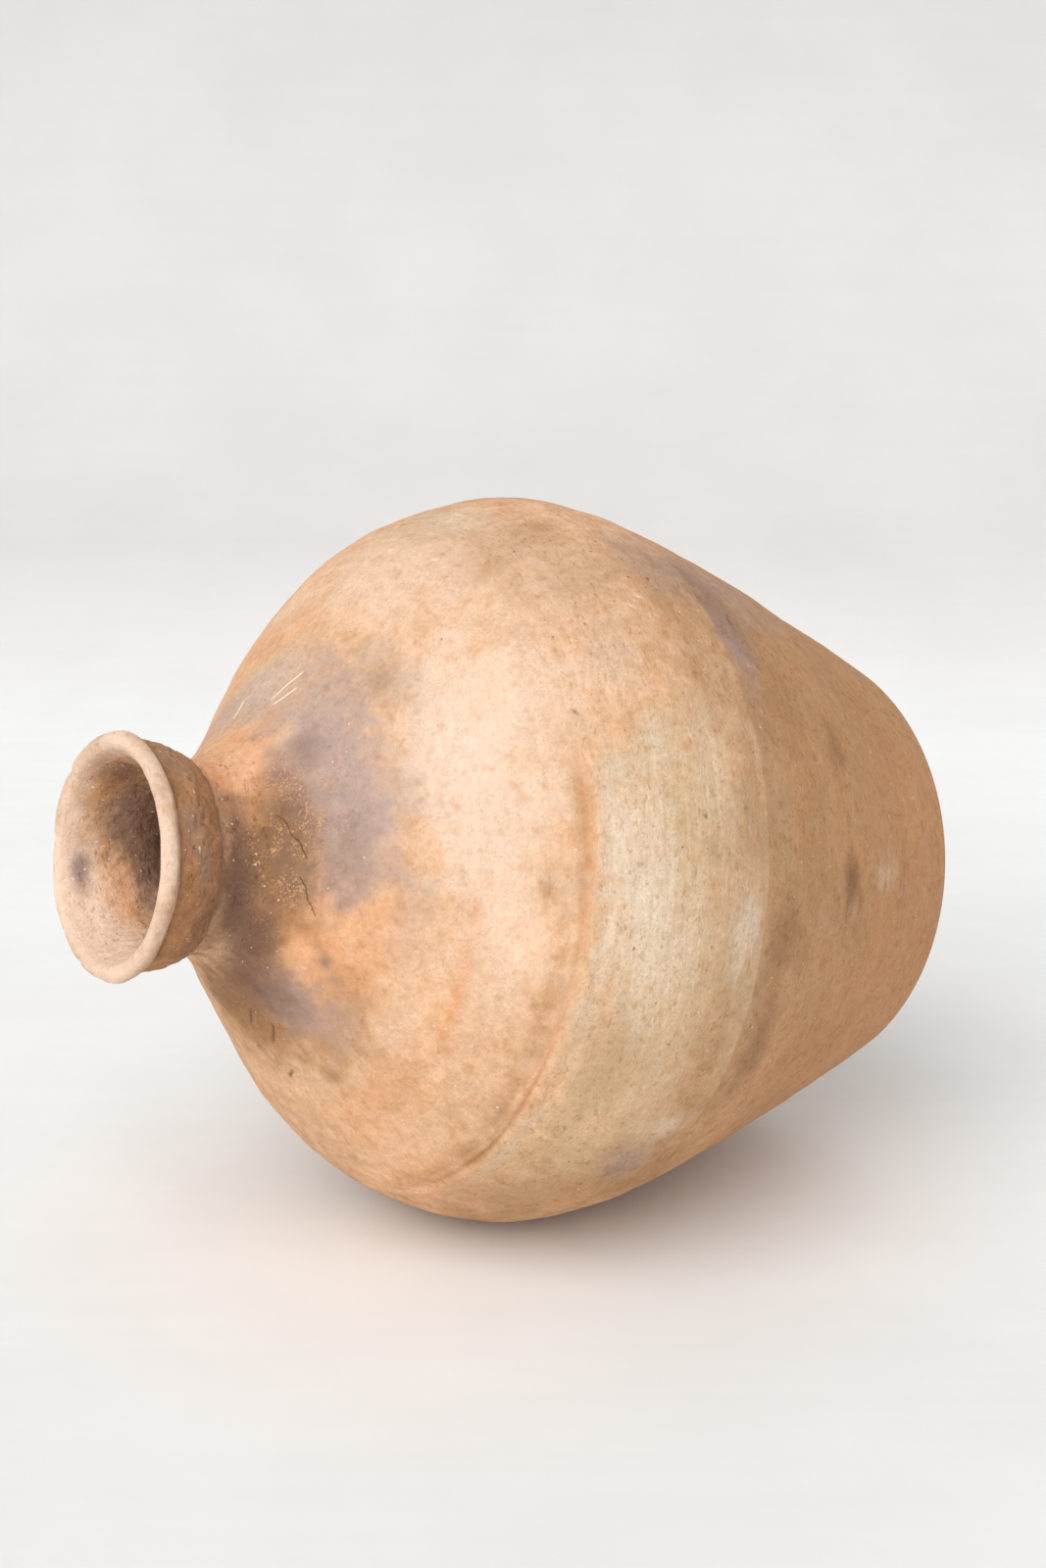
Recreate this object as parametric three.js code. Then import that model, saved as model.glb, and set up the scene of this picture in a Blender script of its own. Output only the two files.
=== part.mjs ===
// A rice wine jar of unglazed earthenware, built the way a potter raises one: a flat base slab, ring-shaped
// wall sections luted one on another, a short neck, a strap collar and a rolled lip.
// Millimetres, +Z up, origin at the centre of the flat underside.
import * as THREE from "three";

// Heights of the sections, stacked from the ground up
const BASE_THICKNESS = 12;
const LOWER_WALL_HEIGHT = 183; // from the ground to the lower seam ring
const BELLY_BAND_HEIGHT = 86;
const LOWER_SHOULDER_HEIGHT = 31;
const UPPER_SHOULDER_HEIGHT = 60;
const NECK_FLARE_HEIGHT = 12; // the neck curves out of the shoulder over this height
const NECK_BARE_HEIGHT = 9; // upright neck that shows under the collar
const COLLAR_HEIGHT = 23;
const LIP_HEIGHT = 9;

// Outside radii, and how each one above the neck grows out of the one below it
const BASE_RADIUS = 112; // where the leaning wall would meet the ground
const BASE_ROUND = 5;
const BELLY_RADIUS = 175;
const BELLY_RISE = 25; // widest level above the lower seam ring
const SHOULDER_RADIUS = 125; // at the faint ring between the two shoulder sections
const NECK_RADIUS = 43;
const COLLAR_STEP = 3.2; // the collar's lower edge stands this proud of the neck
const COLLAR_FLARE = 5.4; // the collar widens by this much towards the lip
const COLLAR_EDGE_ROUND = 1.8;
const LIP_OVERHANG = 3.2; // the lip stands this proud of the collar's top
const LIP_ROLL_WIDTH = 8.8;
const LIP_ROLL_FROM = -65; // degrees round the roll, from the crease over the collar
const LIP_ROLL_TO = 175; // to the funnel of the mouth

// Clay thicknesses and luted joints
const WALL = 9;
const NECK_RIM_WALL = 3.8; // the neck's wall where the lip caps it
const COLLAR_THICKNESS = 4;
const LUTE_GAP = 0.3; // the film of slip between two sections
const SCARF_RISE = 8; // a wall joint climbs this much from the outer face to the inner one

// Curves of the wall: how steeply it leans, and how full each stretch is as a share of its height
const BASE_LEAN = 0.39; // radius gained per height at the foot
const SHOULDER_FALL = 1.29; // radius lost per height at the faint shoulder ring
const FULLNESS = {
  foot: 0.84,
  belowBelly: 0.03,
  aboveBelly: 0.385,
  belowRing: 0.35,
  aboveRing: 1.04,
  neckFlare: 0.14,
};

// Fineness of the faceted surfaces
const SIDES = 64;
const WALL_STEP = 20; // longest facet up the wall
const NECK_STEP = 5; // longest facet up the neck
const EDGE_STEPS = 4; // facets round a rounded edge
const ROLL_STEPS = 12;

// Levels and radii that follow from the sizes above
const lowerSeam = LOWER_WALL_HEIGHT;
const belly = lowerSeam + BELLY_RISE;
const shoulderSeam = lowerSeam + BELLY_BAND_HEIGHT;
const shoulderRing = shoulderSeam + LOWER_SHOULDER_HEIGHT;
const shoulderMouth = shoulderRing + UPPER_SHOULDER_HEIGHT;
const neckUpright = shoulderMouth + NECK_FLARE_HEIGHT;
const collarFoot = neckUpright + NECK_BARE_HEIGHT;
const lipFoot = collarFoot + COLLAR_HEIGHT;
const lipTop = lipFoot + LIP_HEIGHT;
const collarFootRadius = NECK_RADIUS + COLLAR_STEP;
const collarTopRadius = collarFootRadius + COLLAR_FLARE;
const lipRadius = collarTopRadius + LIP_OVERHANG;
const neckTopRadius = collarTopRadius - COLLAR_THICKNESS - LUTE_GAP;
const mouthRadius = neckTopRadius - NECK_RIM_WALL;
const throatRadius = NECK_RADIUS - WALL;

const at = (radius, height) => new THREE.Vector2(radius, height);

// The outer skin is three curves, end to end: foot to belly, belly to shoulder ring, ring to upright neck.
function skinCurves() {
  const foot = at(BASE_RADIUS, 0);
  const widest = at(BELLY_RADIUS, belly);
  const ring = at(SHOULDER_RADIUS, shoulderRing);
  const root = at(NECK_RADIUS, neckUpright);
  const fall = at(-SHOULDER_FALL, 1).normalize();
  const rise = at(BASE_LEAN, 1);
  const shoulderHeight = shoulderRing - belly;
  const flareHeight = neckUpright - shoulderRing;
  return [
    new THREE.CubicBezierCurve(
      foot,
      foot.clone().addScaledVector(rise, FULLNESS.foot * belly),
      at(BELLY_RADIUS, belly * (1 - FULLNESS.belowBelly)),
      widest,
    ),
    new THREE.CubicBezierCurve(
      widest,
      at(BELLY_RADIUS, belly + FULLNESS.aboveBelly * shoulderHeight),
      ring.clone().addScaledVector(fall, -FULLNESS.belowRing * shoulderHeight),
      ring,
    ),
    new THREE.CubicBezierCurve(
      ring,
      ring.clone().addScaledVector(fall, FULLNESS.aboveRing * flareHeight),
      at(NECK_RADIUS, neckUpright - FULLNESS.neckFlare * flareHeight),
      root,
    ),
  ];
}
const skin = skinCurves();

// The value between low and high at which a rising function reaches a target.
function reach(target, low, high, rising) {
  const HALVINGS = 50;
  for (let i = 0; i < HALVINGS; i++) {
    const middle = (low + high) / 2;
    if (rising(middle) < target) low = middle;
    else high = middle;
  }
  return (low + high) / 2;
}

// The point of the outer face at a height, or of a face that lies some depth inside it.
function skinPoint(height, depth = 0) {
  const curve = skin.find((c) => height <= c.v3.y) ?? skin.at(-1);
  const t = reach(height, 0, 1, (share) => curve.getPoint(share).y);
  const along = curve.getTangent(t);
  const outward = at(along.y, -along.x);
  return curve.getPoint(t).addScaledVector(outward, -depth);
}

// The height on the outer face behind which the inner face lies at a level.
function heightBehind(level) {
  return reach(level, 0, neckUpright, (height) => skinPoint(height, WALL).y);
}

// Points along a face from one height to another, both ends included.
function run(from, to, depth, step) {
  const steps = Math.max(1, Math.ceil(Math.abs(to - from) / step));
  return Array.from({ length: steps + 1 }, (_, i) =>
    skinPoint(THREE.MathUtils.lerp(from, to, i / steps), depth),
  );
}

// A joint across the wall: the height of its outer end, and the height behind which its inner end lies.
const scarfJoint = (height) => ({ outer: height, inner: height + SCARF_RISE });
const levelJoint = (height) => ({ outer: height, inner: heightBehind(height) });
const slabJoint = levelJoint(BASE_THICKNESS);
const lowerJoint = scarfJoint(lowerSeam);
const bellyJoint = scarfJoint(shoulderSeam);
const ringJoint = scarfJoint(shoulderRing);
const mouthJoint = levelJoint(shoulderMouth);

// Half the slip film, square to a joint and up the wall.
function halfFilm(joint) {
  const across = skinPoint(joint.inner, WALL).sub(skinPoint(joint.outer));
  return at(across.y, -across.x).setLength(LUTE_GAP / 2);
}

// Turns a profile, given anticlockwise with the axis on its left, into a closed solid round the Z axis.
function turned(profile) {
  return new THREE.LatheGeometry(profile, SIDES).rotateX(Math.PI / 2);
}

const closed = (points) => [...points, points[0].clone()];

// A wall section from joint to joint, pulled back at both ends by the slip film.
function wallSection(lower, upper) {
  const outside = run(lower.outer, upper.outer, 0, WALL_STEP);
  const inside = run(upper.inner, lower.inner, WALL, WALL_STEP);
  for (const point of [outside[0], inside.at(-1)]) point.add(halfFilm(lower));
  for (const point of [outside.at(-1), inside[0]]) point.sub(halfFilm(upper));
  return turned(closed([...outside, ...inside]));
}

// The base slab: flat below and above, with a rounded foot edge and the wall's own lean on its rim.
function baseDisc() {
  const top = BASE_THICKNESS - LUTE_GAP / 2;
  const edge = new THREE.QuadraticBezierCurve(
    at(BASE_RADIUS - BASE_ROUND, 0),
    at(BASE_RADIUS, 0),
    skinPoint(BASE_ROUND),
  );
  return turned([at(0, 0), ...edge.getPoints(EDGE_STEPS), skinPoint(top), at(0, top)]);
}

// The neck: flares out of the shoulder, stands upright, and steps in where the collar is wrapped round it.
function neck() {
  const seat = collarFoot - LUTE_GAP / 2;
  const top = lipFoot - LUTE_GAP / 2;
  const seatRadius = collarFootRadius - COLLAR_THICKNESS - LUTE_GAP;
  const outside = run(mouthJoint.outer, neckUpright, 0, NECK_STEP);
  const funnel = new THREE.QuadraticBezierCurve(
    at(mouthRadius, top),
    at(throatRadius, (neckUpright + lipFoot) / 2),
    at(throatRadius, neckUpright),
  );
  const inside = run(neckUpright, mouthJoint.inner, WALL, NECK_STEP).slice(1);
  for (const point of [outside[0], inside.at(-1)]) point.add(halfFilm(mouthJoint));
  return turned(
    closed([
      ...outside,
      at(NECK_RADIUS, seat),
      at(seatRadius, seat),
      at(neckTopRadius, top),
      ...funnel.getPoints(Math.ceil((lipFoot - neckUpright) / NECK_STEP)),
      ...inside,
    ]),
  );
}

// The collar: a strap round the neck, flaring towards the lip, with a rounded lower edge.
function collarBand() {
  const foot = collarFoot + LUTE_GAP / 2;
  const top = lipFoot - LUTE_GAP / 2;
  const lean = COLLAR_FLARE / COLLAR_HEIGHT;
  const edge = new THREE.QuadraticBezierCurve(
    at(collarFootRadius - COLLAR_EDGE_ROUND, foot),
    at(collarFootRadius, foot),
    at(collarFootRadius + lean * COLLAR_EDGE_ROUND, foot + COLLAR_EDGE_ROUND),
  );
  return turned(
    closed([
      at(collarFootRadius - COLLAR_THICKNESS, foot),
      ...edge.getPoints(EDGE_STEPS),
      at(collarTopRadius, top),
      at(collarTopRadius - COLLAR_THICKNESS, top),
    ]),
  );
}

// The lip: a coil, rounded over the top, that sits on neck and collar and leads into the mouth's funnel.
function lipRoll() {
  const foot = lipFoot + LUTE_GAP / 2;
  const halfWidth = LIP_ROLL_WIDTH / 2;
  const halfHeight = LIP_HEIGHT / 2;
  const roll = new THREE.EllipseCurve(
    lipRadius - halfWidth,
    lipTop - halfHeight,
    halfWidth,
    halfHeight,
    THREE.MathUtils.degToRad(LIP_ROLL_FROM),
    THREE.MathUtils.degToRad(LIP_ROLL_TO),
  );
  return turned(
    closed([at(mouthRadius, foot), at(collarTopRadius, foot), ...roll.getPoints(ROLL_STEPS)]),
  );
}

// Fired clay, by the colour that the fire left on each section
function clay(colour, roughness) {
  return new THREE.MeshStandardMaterial({ color: colour, roughness, metalness: 0 });
}

const jar = new THREE.Group();
jar.name = "rice_wine_jar";

function add(name, geometry, material) {
  const piece = new THREE.Mesh(geometry, material);
  piece.name = name;
  jar.add(piece);
}

add("base_disc", baseDisc(), clay(0xb5814f, 0.9));
add("lower_wall", wallSection(slabJoint, lowerJoint), clay(0xb98a5f, 0.85));
add("belly_band", wallSection(lowerJoint, bellyJoint), clay(0xcfae82, 0.85));
add("lower_shoulder", wallSection(bellyJoint, ringJoint), clay(0xd39a66, 0.85));
add("upper_shoulder", wallSection(ringJoint, mouthJoint), clay(0xc08a66, 0.85));
add("neck", neck(), clay(0xa8724c, 0.9));
add("collar_band", collarBand(), clay(0x9c7458, 0.9));
add("lip_roll", lipRoll(), clay(0xe0b795, 0.9));

export default jar;
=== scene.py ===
# %% [markdown]
# # A rice wine jar of unglazed clay
# The jar was raised by hand from eight pieces of clay: a base slab, four rings of wall, a neck, a strap
# collar and a rolled lip. They were luted together with slip and fired without glaze.
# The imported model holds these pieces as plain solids. This lesson gives each of them the uneven, smoked
# and worn surface of the real jar, and leaves their sizes and places alone.

import bpy
import numpy as np
from mathutils import Matrix, Vector


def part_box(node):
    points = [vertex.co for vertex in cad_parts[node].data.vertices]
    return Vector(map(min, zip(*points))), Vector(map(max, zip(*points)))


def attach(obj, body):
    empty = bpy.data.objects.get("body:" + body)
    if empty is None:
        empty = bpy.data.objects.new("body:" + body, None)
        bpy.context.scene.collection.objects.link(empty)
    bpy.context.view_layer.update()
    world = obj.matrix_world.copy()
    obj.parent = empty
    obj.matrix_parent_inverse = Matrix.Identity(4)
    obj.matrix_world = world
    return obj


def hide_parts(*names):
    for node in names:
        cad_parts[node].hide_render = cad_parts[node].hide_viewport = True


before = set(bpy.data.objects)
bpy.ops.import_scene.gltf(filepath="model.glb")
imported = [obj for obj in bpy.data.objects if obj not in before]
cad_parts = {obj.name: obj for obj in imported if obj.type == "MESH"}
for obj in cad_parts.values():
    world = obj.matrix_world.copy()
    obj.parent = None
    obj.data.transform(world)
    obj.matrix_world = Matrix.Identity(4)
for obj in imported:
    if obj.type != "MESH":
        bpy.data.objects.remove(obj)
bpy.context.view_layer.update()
scene = bpy.context.scene
scene.view_settings.view_transform = "Standard"
print("nodes:", ", ".join(sorted(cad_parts)))

# %% [markdown]
# ## How the jar lies
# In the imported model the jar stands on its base, but it was photographed lying on its side. The jar
# itself stays where it is, because everything else is measured from it. The studio turns round it
# instead: its "up" points away from the floor, written in the jar's own directions. The jar rests on its
# belly with the foot a little off the floor, so its axis rises towards the mouth.

# %% The studio's own directions
LYING_SIDE = np.radians(168.2)
LYING_TILT = np.radians(9.3)
side_out = Vector((np.cos(LYING_SIDE), np.sin(LYING_SIDE), 0))
axis_up = Vector((0, 0, 1))
studio_up = axis_up * np.sin(LYING_TILT) - side_out * np.cos(LYING_TILT)
print("studio up:", [round(c, 3) for c in studio_up])

# %% [markdown]
# ## The camera
# The view was recovered from the jar's outline: a lens of normal length, about 0.7 m over the floor,
# looking down on the jar and at its mouth. A camera looks along its own -Z, so its three axes are written
# straight into its matrix, with the studio's up to keep it level.

# %% A level camera
EYE = Vector((0.0, -0.8497, 0.8469))
AIM = Vector((0.0368, 0.0, 0.1852))
LENS = 50
SENSOR = 36


def placed(name, data):
    """A new object in the scene."""
    thing = bpy.data.objects.new(name, data)
    scene.collection.objects.link(thing)
    return thing


def facing_along(x, y, z):
    """A rotation that turns an object's own axes to three directions."""
    return Matrix((x, y, z)).transposed().to_4x4()


back = (EYE - AIM).normalized()
right = studio_up.cross(back).normalized()
camera_data = bpy.data.cameras.new("camera")
camera_data.lens = LENS
camera_data.sensor_fit = "VERTICAL"
camera_data.sensor_height = SENSOR
camera = placed("camera", camera_data)
camera.matrix_world = Matrix.Translation(EYE) @ facing_along(right, back.cross(right), back)
scene.camera = camera
toward = right.cross(studio_up)
print("camera height over the jar's origin:", round((EYE @ studio_up), 3))

# %% [markdown]
# ## The sizes of the jar
# The outer face of the wall is one line from the foot to the neck, drawn as three curves with the same
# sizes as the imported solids. A line of points is enough to work with: the radius, the outward direction
# and the length along the wall can all be looked up from it by height. All lengths are millimetres here
# and become metres when a mesh is made.

# %% Levels and radii
MM = 0.001
SLAB_TOP, LOWER_SEAM, BELLY, UPPER_SEAM, SHOULDER_RING = 12, 183, 208, 269, 300
NECK_FOOT, NECK_UPRIGHT, COLLAR_FOOT, LIP_FOOT, LIP_TOP = 360, 372, 381, 404, 413
BASE_RADIUS, BASE_ROUND, BELLY_RADIUS, SHOULDER_RADIUS, NECK_RADIUS = 112, 5, 175, 125, 43
COLLAR_FOOT_RADIUS, COLLAR_TOP_RADIUS, COLLAR_CLAY, LIP_RADIUS = 46.2, 51.6, 4.0, 54.8
MOUTH_RADIUS, THROAT_RADIUS, WALL, SCARF = 43.5, 34, 9, 8
print(f"{LIP_TOP} mm tall and {2 * BELLY_RADIUS} mm across the belly")

# %% The line of the wall
BASE_LEAN, SHOULDER_FALL = 0.39, 1.29
# How far the handles of the three curves reach, as shares of each curve's height.
FOOT_HANDLE, UNDER_BELLY, OVER_BELLY = 0.84, 0.97, 0.385
RING_HANDLE, NECK_HANDLE, NECK_TURN = 0.35, 1.04, 0.14


def bezier(a, b, c, d, count=240):
    """Points along a curve from a to d that leaves towards b and comes in from c."""
    t = np.linspace(0, 1, count)[:, None]
    a, b, c, d = (np.array(p, float) for p in (a, b, c, d))
    return (1 - t) ** 3 * a + 3 * (1 - t) ** 2 * t * b + 3 * (1 - t) * t ** 2 * c + t ** 3 * d


fall = np.array([-SHOULDER_FALL, 1]) / np.hypot(SHOULDER_FALL, 1)
ring = np.array([SHOULDER_RADIUS, SHOULDER_RING])
over_belly = SHOULDER_RING - BELLY
under_neck = NECK_UPRIGHT - SHOULDER_RING
wall_line = np.vstack([
    bezier((BASE_RADIUS, 0), (BASE_RADIUS + BASE_LEAN * FOOT_HANDLE * BELLY, FOOT_HANDLE * BELLY),
           (BELLY_RADIUS, UNDER_BELLY * BELLY), (BELLY_RADIUS, BELLY)),
    bezier((BELLY_RADIUS, BELLY), (BELLY_RADIUS, BELLY + OVER_BELLY * over_belly),
           ring - fall * RING_HANDLE * over_belly, ring)[1:],
    bezier(ring, ring + fall * NECK_HANDLE * under_neck,
           (NECK_RADIUS, NECK_UPRIGHT - NECK_TURN * under_neck), (NECK_RADIUS, NECK_UPRIGHT))[1:],
    [(NECK_RADIUS, COLLAR_FOOT)],
])
print("wall line:", len(wall_line), "points")

# %% Looking places up on the wall
FLATTEST = 0.2
along = np.gradient(wall_line, axis=0)
along /= np.linalg.norm(along, axis=1)[:, None]
LINE_RADIUS, LINE_HEIGHT = wall_line.T
LINE_RISE = np.clip(along[:, 1], FLATTEST, 1)
LINE_LENGTH = np.r_[0, np.cumsum(np.linalg.norm(np.diff(wall_line, axis=0), axis=1))]


def on_wall(heights, depth=0.0):
    """Radius, height and outward direction of the wall, at a depth under its outer face."""
    heights = np.asarray(heights, float)
    radius = np.interp(heights, LINE_HEIGHT, LINE_RADIUS)
    lean_r, lean_z = (np.interp(heights, LINE_HEIGHT, lean) for lean in along.T)
    size = np.hypot(lean_r, lean_z)
    out_r, out_z = lean_z / size, -lean_r / size
    return np.column_stack([radius - out_r * depth, heights - out_z * depth, out_r, out_z])


print("the wall is", round(LINE_LENGTH[-1]), "mm long from foot to collar")
for node in ("lower_wall", "belly_band", "upper_shoulder", "neck", "lip_roll"):
    low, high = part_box(node)
    print(f"{node}: {low.z / MM:.1f} to {high.z / MM:.1f} mm, radius {high.x / MM:.1f} mm")

# %% [markdown]
# ## Rows of points up a face
# A piece is a ring, so its mesh is a grid: columns round the axis and rows round its section. The seams
# carry the finest detail, so the rows crowd together near both ends of a wall section and spread out in
# its middle. Spacing the rows evenly along the sum of a wanted density does that.

# %% Rows that crowd near the joints
COLUMNS = 600
FINE_ROW = 0.8
SEAM_CORE, SEAM_REACH = 2, 12
FINE_STEPS = 2000
turn = np.arange(COLUMNS) * 2 * np.pi / COLUMNS


def rise(value, low, high):
    """0 below low, 1 above high and a soft step between them."""
    t = np.clip((np.asarray(value, float) - low) / (high - low), 0, 1)
    return t * t * (3 - 2 * t)


def rows(low, high, coarse, fine=FINE_ROW):
    """Heights from one joint to the next, fine near both and coarse between them."""
    length = np.linspace(*np.interp([low, high], LINE_HEIGHT, LINE_LENGTH), FINE_STEPS)
    from_end = np.minimum(length - length[0], length[-1] - length)
    step = fine + (coarse - fine) * rise(from_end, SEAM_CORE, SEAM_REACH)
    count = np.r_[0, np.cumsum((1 / step[1:] + 1 / step[:-1]) / 2 * np.diff(length))]
    wanted = np.linspace(0, count[-1], int(np.ceil(count[-1])) + 1)
    heights = np.interp(np.interp(wanted, count, length), LINE_LENGTH, LINE_HEIGHT)
    heights[0], heights[-1] = low, high
    return heights


print("rows up the belly band:", len(rows(LOWER_SEAM, UPPER_SEAM, 2.0)))

# %% [markdown]
# ## The unevenness of a hand
# A hand-built wall is never quite round. It swells and dips over a hand's width, carries faint rings from
# the wet cloth that wiped it, and shows each luted joint as a groove or a ridge that comes and goes.
# Swells are sums of seeded waves in space, so neighbouring pieces agree wherever they meet. Waves that
# are drawn out along the turn make the wiping rings.

# %% Swells
WAVES = 24


def ripple(points, length, seed, drawn_out=1.0):
    """Smooth random swells about as long as length, mostly between -1 and 1."""
    rng = np.random.default_rng(seed)
    waves = rng.normal(size=(WAVES, 3))
    waves *= 2 * np.pi / length * rng.uniform(0.7, 1.4, (WAVES, 1)) / np.linalg.norm(waves, axis=1)[:, None]
    waves[:, :2] /= drawn_out
    start = rng.uniform(0, 2 * np.pi, WAVES)
    return np.cos(points @ waves.T + start).sum(-1) / np.sqrt(WAVES)


def ripples(points, swells):
    """Swells on top of each other, each with a height, a length and a seed."""
    return sum(size * ripple(points, length, seed) for size, length, seed in swells)


print("one swell at the origin:", ripple(np.zeros(3), 80, seed=1).round(3))

# %% Rings, sides and strokes


def band(height, level, width):
    """1 at a level, fading over a width above and below it."""
    return np.exp(-(((height - level) / width) ** 2))


def turned_from(angle, degrees):
    """How far an angle is turned from a direction, the short way round."""
    return (angle - np.radians(degrees) + np.pi) % (2 * np.pi) - np.pi


def facing(angle, degrees, spread):
    """1 on the side that faces a direction, fading over a spread of degrees."""
    return np.exp(-((np.degrees(turned_from(angle, degrees)) / spread) ** 2))


def unrolled(angle, height, degrees, level):
    """The wall laid flat round a place: millimetres along the turn and up the wall from there."""
    radius = np.interp(level, LINE_HEIGHT, LINE_RADIUS)
    slope = np.interp(level, LINE_HEIGHT, LINE_RISE)
    across = radius * turned_from(angle, degrees)
    return across, (height - level) / slope


def along_stroke(angle, height, start, end):
    """Distance to the side of a straight mark and past its ends, in millimetres on the unrolled wall."""
    middle = (start[0] + end[0]) / 2, (start[1] + end[1]) / 2
    x, y = unrolled(angle, height, *middle)
    ax, ay = unrolled(np.radians(start[0]), start[1], *middle)
    bx, by = unrolled(np.radians(end[0]), end[1], *middle)
    length = max(np.hypot(bx - ax, by - ay), 1e-6)
    way_x, way_y = (bx - ax) / length, (by - ay) / length
    run = (x - ax) * way_x + (y - ay) * way_y
    side = (y - ay) * way_x - (x - ax) * way_y
    return side, np.maximum(np.maximum(-run, run - length), 0)


def stroke(angle, height, start, end, width):
    """1 along a straight mark between two places on the wall, each an angle in degrees and a height."""
    side, past = along_stroke(angle, height, start, end)
    return np.exp(-((side ** 2 + past ** 2) / width ** 2))


print("a mark of 45 degrees keeps", facing(0.0, -90, 45).round(3), "of its strength a quarter turn away")

# %% [markdown]
# ## Marks that stand in or out of the clay
# Two drying cracks run out from the neck, straw pressed pale scars into the shoulder, and the knocks of
# use left pale chips, dark nicks and scratches. A blister stands on the belly. Each mark is a chain of
# short strokes on the unrolled wall. The same strokes give the depth of a mark now and its colour later,
# so shape and colour stay together.

# %% Cracks, scars, blister and nicks
# Each stroke runs between two places, each an angle in degrees and a height in millimetres.
CRACKS = [
    ((-70.5, 356.9), (-74.5, 355.2)), ((-74.5, 355.2), (-80, 353.9)), ((-80, 353.9), (-84.5, 351.6)),
    ((-84.5, 351.6), (-89.6, 350.0)), ((-98.8, 351.7), (-102, 349.8)), ((-102, 349.8), (-107, 348.6)),
    ((-107, 348.6), (-112.1, 345.9)),
]
SCARS = [((-10.7, 339.6), (-15.5, 329.6)), ((-14.5, 341.1), (-18.9, 334.8)), ((6.5, 346.7), (8.5, 340.3)),
         ((-8.8, 281.6), (-9.9, 281.0)), ((-22.9, 280.3), (-23.4, 279.8)), ((-50.0, 228.9), (-50.3, 228.0)),
         ((-48.4, 223.0), (-48.6, 222.2))]
BLISTERS = [((-59.3, 204.4), (-59.7, 204.4))]
NICKS = [((-49.5, 166.5), (-50.2, 164.0)), ((-83.5, 222.0), (-83.9, 221.5)), ((-66, 268), (-66.4, 267.4)),
         ((-178, 343.5), (-183.5, 338.5)), ((-171, 337.5), (-176.5, 332.8)), ((-177, 322.2), (-180, 320.2))]
CRACK_WIDTH, SCAR_WIDTH, BLISTER_WIDTH, NICK_WIDTH = 0.8, 0.9, 2.4, 0.8
CRACK_DEPTH, SCAR_DEPTH, BLISTER_HEIGHT, NICK_DEPTH = 0.35, 0.3, 0.9, 0.8


def marks_in_clay(angle, height):
    """How far the strokes push the wall out, in millimetres."""
    depth = np.zeros(np.broadcast(angle, height).shape)
    for strokes, width, push in ((CRACKS, CRACK_WIDTH, -CRACK_DEPTH), (SCARS, SCAR_WIDTH, -SCAR_DEPTH),
                                 (BLISTERS, BLISTER_WIDTH, BLISTER_HEIGHT),
                                 (NICKS, NICK_WIDTH, -NICK_DEPTH)):
        for start, end in strokes:
            depth += push * stroke(angle, height, start, end, width)
    return depth


print("strokes:", len(CRACKS), "crack,", len(SCARS), "scar,", len(BLISTERS), "blister,", len(NICKS), "nick")

# %% [markdown]
# ## The outer relief
# The seams are the clearest shapes on the wall. The upper one is a groove with a thin ridge under it,
# deep on the lower left and almost wiped away on top. The lower one is a worn crest, and the faint ring
# on the shoulder is hardly more than a dip. All of it is pushed along the wall's own outward direction.

# %% Relief of the outer face
# Heights and depths of the relief, in millimetres. DRAWN_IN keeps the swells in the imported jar's box.
OUT_OF_ROUND, DRAWN_IN, WIPING_RINGS = 0.7, 1.0, 0.1
ROUND_SHIFT, ROUND_TWIST = 0.6, 130
HAND_SWELLS = ((0.5, 80, 1), (0.25, 30, 2))
LEDGE, GROOVE, SHOULDER_EDGE, BRUSH_MARKS = 0.6, 0.7, 0.3, 0.28
CREST, CREST_DIP, RING_SWELL, RING_DIP = 0.25, 0.3, 0.28, 0.4
# Over which heights the swells and the wiping rings set in, and where the swells end.
SWELLS_IN, RINGS_IN, SWELLS_OUT = (8, 70), (6, 30), (345, 375)
# How clear a seam is everywhere, and how much clearer on some sides: by how much, side and spread.
UPPER_CLEAR = 0.3, ((0.9, -140, 36), (0.4, 60, 45))
LOWER_CLEAR = 0.45, ((0.55, -95, 45), (0.3, 110, 50))
# Two faint lines on the belly: height of the line, level, width and the side where it is clearest.
WORN_LINES = ((0.3, 210, 1.0, -85), (0.2, 249, 1.2, -100))
WORN_EVERYWHERE, WORN_CLEARER, WORN_SPREAD = 0.3, 0.7, 35


def clearness(angle, everywhere, sides):
    """How clear a seam is at an angle."""
    return sum((more * facing(angle, side, spread) for more, side, spread in sides), everywhere)


def outer_relief(angle, height, points):
    """How far the outer face stands out from its plain line, in millimetres."""
    body = rise(height, *SWELLS_IN) * (1 - rise(height, *SWELLS_OUT))
    out = body * (OUT_OF_ROUND * np.cos(2 * (angle - ROUND_SHIFT) + height / ROUND_TWIST) - DRAWN_IN)
    out += body * ripples(points, HAND_SWELLS)
    out += WIPING_RINGS * rise(height, *RINGS_IN) * ripple(points, 7, seed=3, drawn_out=14)
    upper, lower = clearness(angle, *UPPER_CLEAR), clearness(angle, *LOWER_CLEAR)
    out += upper * (LEDGE * band(height, UPPER_SEAM - 2.4, 2.2) - GROOVE * band(height, UPPER_SEAM + 1.1, 1.2))
    out += SHOULDER_EDGE * upper * band(height, UPPER_SEAM + 4, 2.4)
    out += BRUSH_MARKS * upper * band(height, UPPER_SEAM + 5, 5) * ripple(points, 3.4, seed=4, drawn_out=5)
    out += lower * (CREST * band(height, LOWER_SEAM + 0.5, 2.4) - CREST_DIP * band(height, LOWER_SEAM - 7, 5))
    for size, level, width, side in WORN_LINES:
        out += size * band(height, level, width) * (WORN_EVERYWHERE + WORN_CLEARER * facing(angle, side, WORN_SPREAD))
    out += RING_SWELL * band(height, SHOULDER_RING + 5, 3) - RING_DIP * band(height, SHOULDER_RING, 2.2)
    return out + marks_in_clay(angle, height)


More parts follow.
